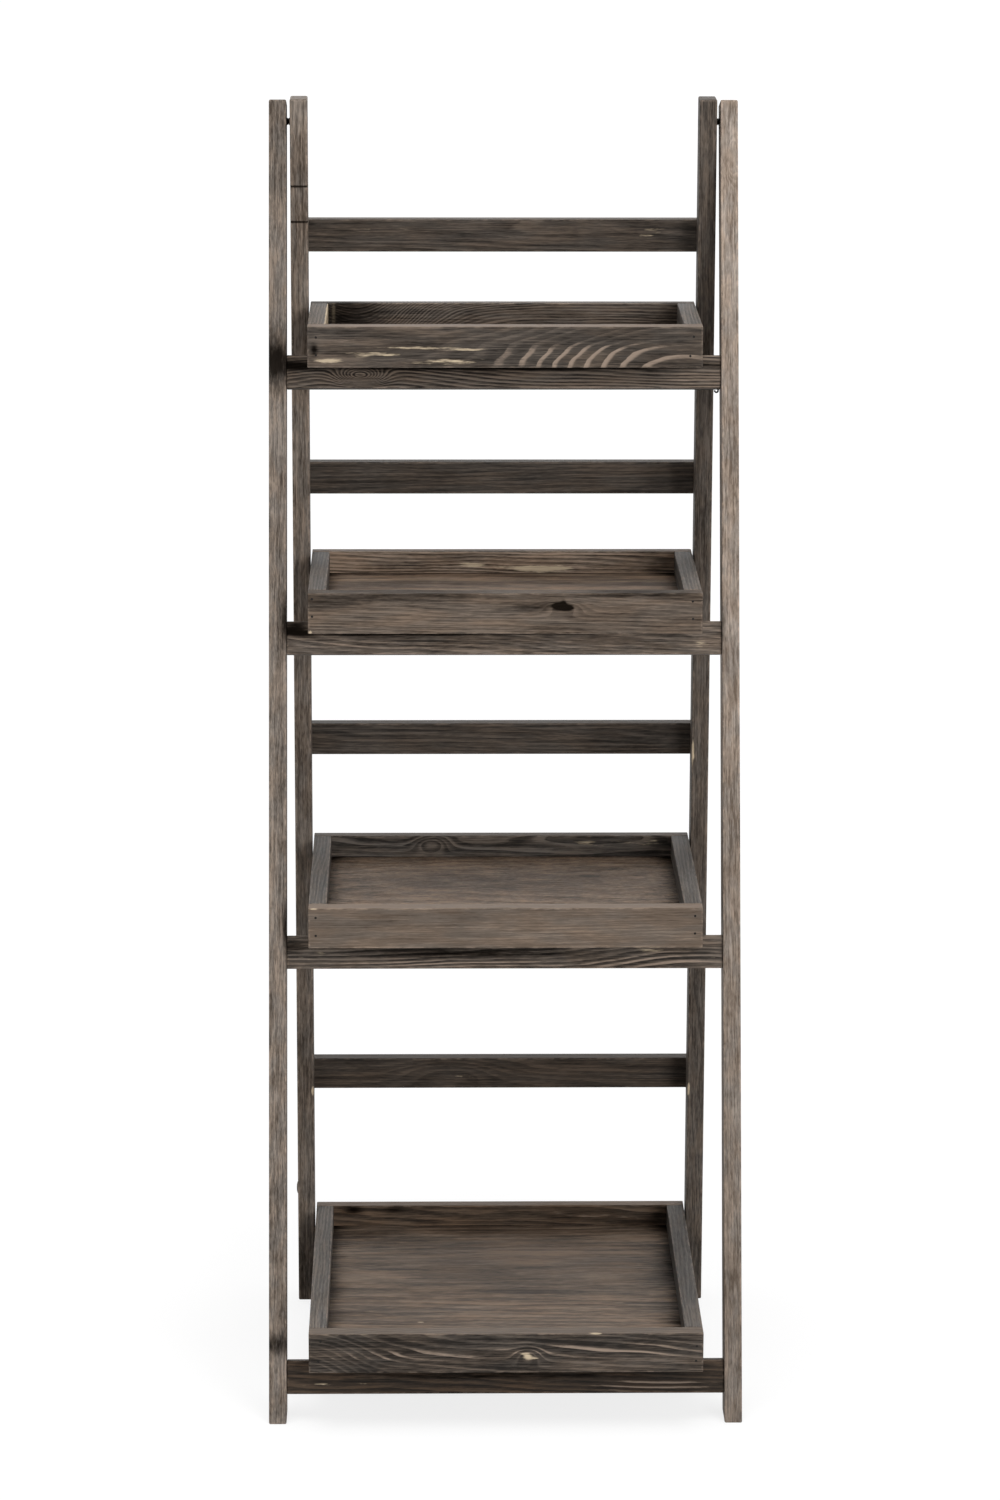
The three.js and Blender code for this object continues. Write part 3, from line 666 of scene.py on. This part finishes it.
# The floors are one plywood; their different levels are partly painted light and shade, set to how each
# tray's floor is lit.
FLOORS = {
    "tray_1_floor": dict(level=79, Seed=91),
    "tray_2_floor": dict(level=101, Seed=92),
    "tray_3_floor": dict(
        level=85, Seed=93, Length=0.4, Fibre=1.4, Blotch=0.9,
        stains=[(-90, -20, 120, 30, 0.25), (120, -70, 90, 25, 0.25)],
    ),
    "tray_4_floor": dict(
        level=76, Seed=94,
        bare=[(-97, -122, 4, 1.2, 1.6), (-156, -85, 14, 5, 0.5), (135, -60, 8, 1.5, 0.6)],
        stains=[(-120, -10, 90, 40, 0.35), (150, 60, 60, 70, 0.25), (60, -120, 200, 25, 0.25)],
    ),
}

# Painted shade in a floor's corners against its boards, as width and amount
FLOOR_LEFT_SHADE = (22, 0.55)
FLOOR_RIGHT_SHADE = (26, 0.65)
FLOOR_REAR_SHADE = (18, 0.5)

# Grain along, grain across, the look that a family shares, and its pieces
FAMILIES = [
    (-UP_LEG, RIGHT, FRONT_LEG_WOOD, FRONT_LEGS),
    (-UP, RIGHT, REAR_LEG_WOOD, REAR_LEGS),
    (RIGHT, UP, RAIL_WOOD, RAILS),
    (RIGHT, UP_LEG, RUNG_WOOD, RUNGS),
    (RIGHT, UP, {}, FRONT_BOARDS),
    (RIGHT, UP, REAR_BOARD_WOOD, REAR_BOARDS),
    (BACK, UP, SIDE_BOARD_WOOD, SIDE_BOARDS),
    (RIGHT, UP, DOWEL_WOOD, DOWELS),
]
for along, across, shared, pieces in FAMILIES:
    for name, look in pieces.items():
        wood(name, Grain(name, along, across), **{**shared, **look})


def floor_rim_shade(grain):
    side, rear = grain.half[0], grain.half[1]
    left_width, left_amount = FLOOR_LEFT_SHADE
    right_width, right_amount = FLOOR_RIGHT_SHADE
    rear_width, rear_amount = FLOOR_REAR_SHADE
    return [
        (-side, 0, left_width, FULL, left_amount),
        (side, 0, right_width, FULL, right_amount),
        (0, rear, FULL, rear_width, rear_amount),
    ]


for name, look in FLOORS.items():
    grain = Grain(name, RIGHT, BACK)
    # the floor's rims get painted corner shade
    stains = floor_rim_shade(grain) + look.get("stains", [])
    wood(name, grain, **{**FLOOR_WOOD, **look, "stains": stains})

# Steel

STEEL_PARTS = ("screw", "pivot", "washer", "hook")
STEEL = (0.012, 0.011, 0.01, 1)
RUBBED_STEEL = (0.05, 0.045, 0.042, 1)
STEEL_METALLIC = 0.85
STEEL_SPECULAR = 0.5
STEEL_ROUGHNESS = 0.45
STEEL_MOTTLE = 0.4  # swing of the roughness
MOTTLE_SIZE = (1.6, 1.6, 1.6)
RUB_SIZE = (4, 4, 4)
RUB_SPAN = (0.55, 0.75)


def blackened_steel():
    made, g = new_material("blackened steel")
    place = g.node("ShaderNodeTexCoord").outputs["Object"]
    inputs = {"Vector": place, "Scale": 1 / MM}
    millimetres = g.node("ShaderNodeVectorMath", inputs, operation="SCALE").outputs[0]
    mottle = g.noise(millimetres, MOTTLE_SIZE, detail=3.0)
    rub = g.smooth(g.noise(millimetres, RUB_SIZE), *RUB_SPAN)
    bsdf = shader(g, specular=STEEL_SPECULAR, metallic=STEEL_METALLIC)
    g.feed(bsdf.inputs["Base Color"], g.mix(rub, STEEL, RUBBED_STEEL))
    g.feed(bsdf.inputs["Roughness"], g.total(STEEL_ROUGHNESS, g.swing(mottle, STEEL_MOTTLE)))
    return made


steel = blackened_steel()
for name, piece in nodes.items():
    if any(word in name for word in STEEL_PARTS):
        cover(piece, steel)

# Small pieces: nail heads in the trays' front boards, and a knob of resin on the left rear leg

BUTTON_SIDES = 16
# A button's rings from sunk end to top: height above the wood, in millimetres, and share of its radius
NAIL_RINGS = [(-0.6, 0.8), (0.01, 1.0), (0.04, 0.75), (0.05, 0.3)]
NAIL_RADIUS = 1.4
# Across the board and up it from its middle, in millimetres
NAILS = {
    1: [(-214, 11), (-214, -9), (213.3, 12), (209.5, -10)],
    2: [(-219, 17), (-219, -3.4), (212.4, 14), (213, -6.3)],
    3: [(-215.4, 12.5), (-215.4, -8.6), (214.9, 14), (214.9, -6.5)],
    4: [(-210.4, 14.5), (-213, -9.5), (216.3, 7.5), (215.5, -10)],
}
KNOB_RINGS = [(-1.0, 1.0), (0.0, 1.0), (0.9, 0.82), (1.5, 0.5), (1.65, 0.2)]
KNOB_RADII = (7.0, 8.0)
KNOB_HEIGHT = 142
KNOB_BEHIND_FRONT = 10


def add_piece(name, mesh, body, material):
    geometry = bpy.data.meshes.new(name)
    mesh.to_mesh(geometry)
    mesh.free()
    made = bpy.data.objects.new(name, geometry)
    bpy.context.scene.collection.objects.link(made)
    made.data.materials.append(material)
    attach(made, body)


def button(mesh, centre, out, radii, rings):
    """A round boss about the axis out, with its radii across and up."""
    across = out.cross(UP).normalized()
    loops = []
    for height, share in rings:
        loop = []
        for step in range(BUTTON_SIDES):
            turn = math.tau * step / BUTTON_SIDES
            offset = across * (radii[0] * math.cos(turn)) + UP * (radii[1] * math.sin(turn))
            loop.append(mesh.verts.new(centre + (offset * share + out * height) * MM))
        loops.append(loop)
    for lower, upper in zip(loops, loops[1:]):
        for step in range(BUTTON_SIDES):
            following = (step + 1) % BUTTON_SIDES
            mesh.faces.new((lower[step], lower[following], upper[following], upper[step]))
    mesh.faces.new(loops[0][::-1])
    mesh.faces.new(loops[-1])
    bmesh.ops.recalc_face_normals(mesh, faces=mesh.faces)


def tray_nails(number):
    low, high = (Vector(corner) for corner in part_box(f"tray_{number}_front_board"))
    mesh = bmesh.new()
    for across, up in NAILS[number]:
        centre = Vector((across * MM, low.y, (low.z + high.z) / 2 + up * MM))
        button(mesh, centre, -BACK, (NAIL_RADIUS, NAIL_RADIUS), NAIL_RINGS)
    add_piece(f"tray_{number}_nails", mesh, f"tray_{number}", steel)


def leg_knob():
    low = Vector(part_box("rear_leg_left")[0])
    mesh = bmesh.new()
    centre = Vector((low.x, low.y + KNOB_BEHIND_FRONT * MM, KNOB_HEIGHT * MM))
    button(mesh, centre, -RIGHT, KNOB_RADII, KNOB_RINGS)
    add_piece("leg_knob", mesh, "rear_frame", nodes["rear_leg_left"].data.materials[0])


for number in TRAYS:
    tray_nails(number)
leg_knob()

# Stage: a pale floor that looks nearly white, and plain soft light. Lengths are in metres.

FLOOR_HALF = 30.0
FLOOR_COLOUR = (0.8, 0.8, 0.8, 1)
FLOOR_WHITE_SHARE = 0.8  # of what is seen of the floor, the rest showing its shadows
AMBIENT = 0.27
LAMPS = {
    "key": dict(azimuth=28, elevation=13, spread=24, level=0.66),
    "back": dict(azimuth=175, elevation=12, spread=70, level=0.45),
    "fill": dict(azimuth=-30, elevation=15, spread=60, level=0.1),
    "top": dict(azimuth=0, elevation=85, spread=50, level=1.0),
}

# The camera, as fitted to the photograph
PHOTO_HEIGHT = 1500  # in pixels
FOCAL_PIXELS = 4781
SENSOR = 36  # its longer side, in millimetres
CLIP_END = 100
CAMERA_PLACE = Vector((-0.0926, -5.3326, 2.0613))
CAMERA_TURN = (0.941, 13.947, 0.160)  # to the right, down and anticlockwise, in degrees


def seen_rays(g):
    """1 for rays that show the background, straight to the camera or by way of metal or glass."""
    rays = g.node("ShaderNodeLightPath").outputs
    by_way = g.math("MAXIMUM", rays["Is Glossy Ray"], rays["Is Transmission Ray"])
    return g.math("MAXIMUM", rays["Is Camera Ray"], by_way)


def floor():
    mesh = bpy.data.meshes.new("floor")
    corners = [(-FLOOR_HALF, -FLOOR_HALF, 0), (FLOOR_HALF, -FLOOR_HALF, 0)]
    corners += [(FLOOR_HALF, FLOOR_HALF, 0), (-FLOOR_HALF, FLOOR_HALF, 0)]
    mesh.from_pydata(corners, [], [(0, 1, 2, 3)])
    made = bpy.data.objects.new("floor", mesh)
    bpy.context.scene.collection.objects.link(made)
    material, g = new_material("floor")
    plain = g.node("ShaderNodeBsdfDiffuse", {"Color": FLOOR_COLOUR}).outputs[0]
    white = g.node("ShaderNodeEmission", {"Color": WHITE, "Strength": 1.0}).outputs[0]
    bright = g.node("ShaderNodeMixShader", {0: FLOOR_WHITE_SHARE, 1: plain, 2: white}).outputs[0]
    both = g.node("ShaderNodeMixShader", {0: seen_rays(g), 1: plain, 2: bright}).outputs[0]
    g.node("ShaderNodeOutputMaterial", {"Surface": both})
    made.data.materials.append(material)


def world():
    made = bpy.data.worlds.new("studio")
    bpy.context.scene.world = made
    made.use_nodes = True
    made.node_tree.nodes.clear()
    g = Graph(made.node_tree)
    strength = g.math("ADD", AMBIENT, g.math("MULTIPLY", seen_rays(g), 1 - AMBIENT))
    light = g.node("ShaderNodeBackground", {"Color": WHITE, "Strength": strength})
    g.node("ShaderNodeOutputWorld", {"Surface": light.outputs[0]})


def lamp(name, azimuth, elevation, spread, level):
    """A soft light from far off. level is what it adds to a white surface that faces it."""
    data = bpy.data.lights.new(name, "SUN")
    data.energy = level * math.pi
    data.angle = math.radians(spread)
    made = bpy.data.objects.new(name, data)
    bpy.context.scene.collection.objects.link(made)
    azimuth, elevation = math.radians(azimuth), math.radians(elevation)
    towards = Vector((
        math.sin(azimuth) * math.cos(elevation),
        -math.cos(azimuth) * math.cos(elevation),
        math.sin(elevation),
    ))
    made.rotation_euler = towards.to_track_quat("Z", "Y").to_euler()


def camera():
    """The photograph's view: a long lens a little above the stand and to its left."""
    data = bpy.data.cameras.new("camera")
    data.sensor_width = SENSOR
    data.lens = FOCAL_PIXELS / PHOTO_HEIGHT * SENSOR
    data.clip_end = CLIP_END
    made = bpy.data.objects.new("camera", data)
    bpy.context.scene.collection.objects.link(made)
    yaw, pitch, roll = (math.radians(angle) for angle in CAMERA_TURN)
    forward = Vector((math.sin(yaw) * math.cos(pitch), math.cos(yaw) * math.cos(pitch), -math.sin(pitch)))
    right = Vector((math.cos(yaw), -math.sin(yaw), 0))
    up = right.cross(forward)
    rolled_right = right * math.cos(roll) + up * math.sin(roll)
    rolled_up = up * math.cos(roll) - right * math.sin(roll)
    turn = Matrix((rolled_right, rolled_up, -forward)).transposed()
    made.matrix_world = Matrix.Translation(CAMERA_PLACE) @ turn.to_4x4()
    bpy.context.scene.camera = made


floor()
world()
camera()
for name, settings in LAMPS.items():
    lamp(name, **settings)
bpy.context.scene.view_settings.view_transform = "Standard"
